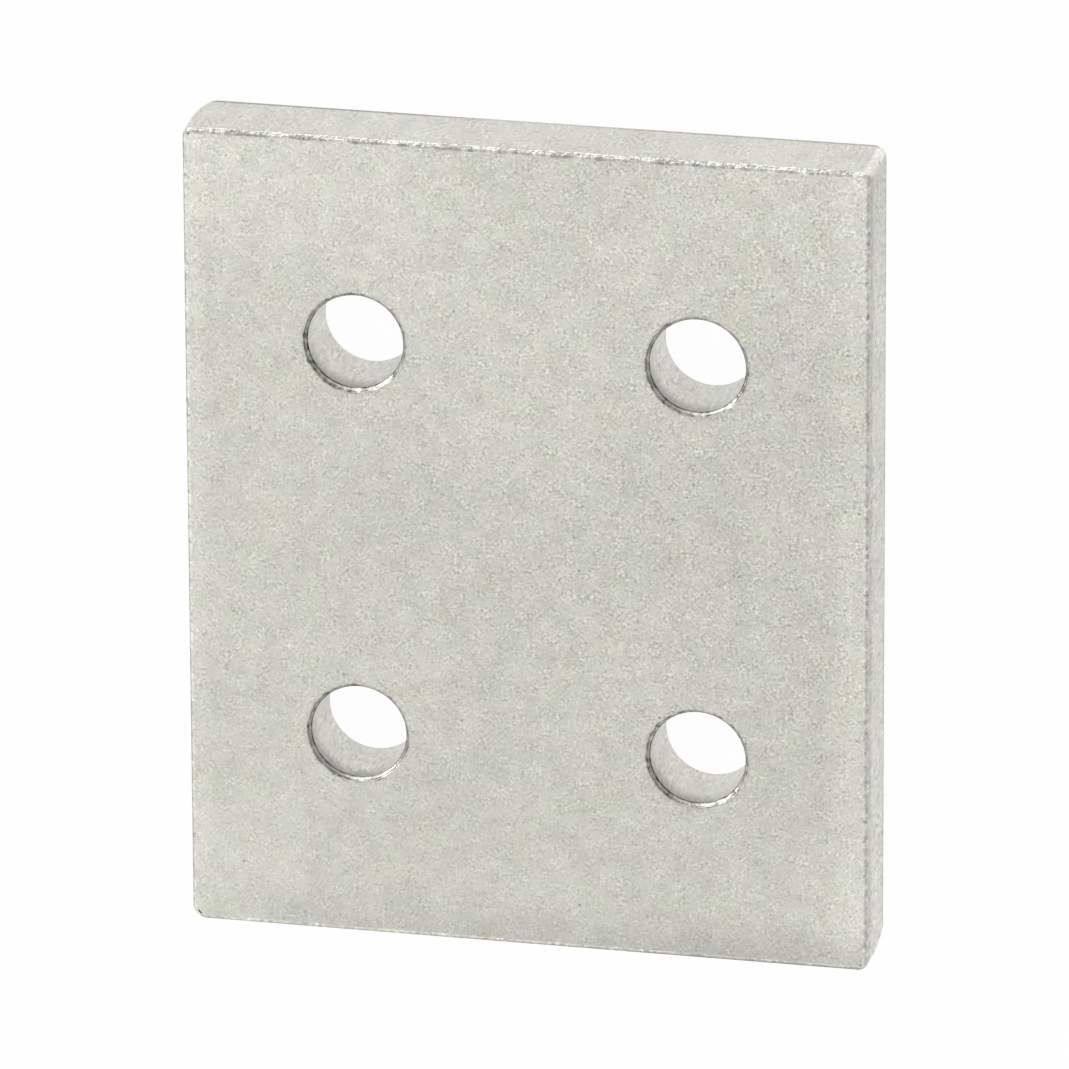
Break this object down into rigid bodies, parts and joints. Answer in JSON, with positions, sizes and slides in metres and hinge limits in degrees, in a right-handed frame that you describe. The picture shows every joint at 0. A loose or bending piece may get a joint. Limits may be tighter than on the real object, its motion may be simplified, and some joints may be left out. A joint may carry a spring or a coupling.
{
  "type": "extrusion joining plate",
  "caption": "Flat rectangular aluminium plate with a grid of clearance holes and broken edges, for bolting lengths of slotted extrusion together.",
  "frame": {"origin": "centre of the back face, which seats on the extrusions", "axes": "+Z out of the front face, +X across the joint, +Y along the slots; the plate lies on its back"},
  "size_m": [0.05, 0.061, 0.0063],
  "materials": {
    "aluminium": "uncoated, tumbled to an even matte"
  },
  "bodies": {
    "root": {"joining_plate": "aluminium"}
  },
  "joints": []
}
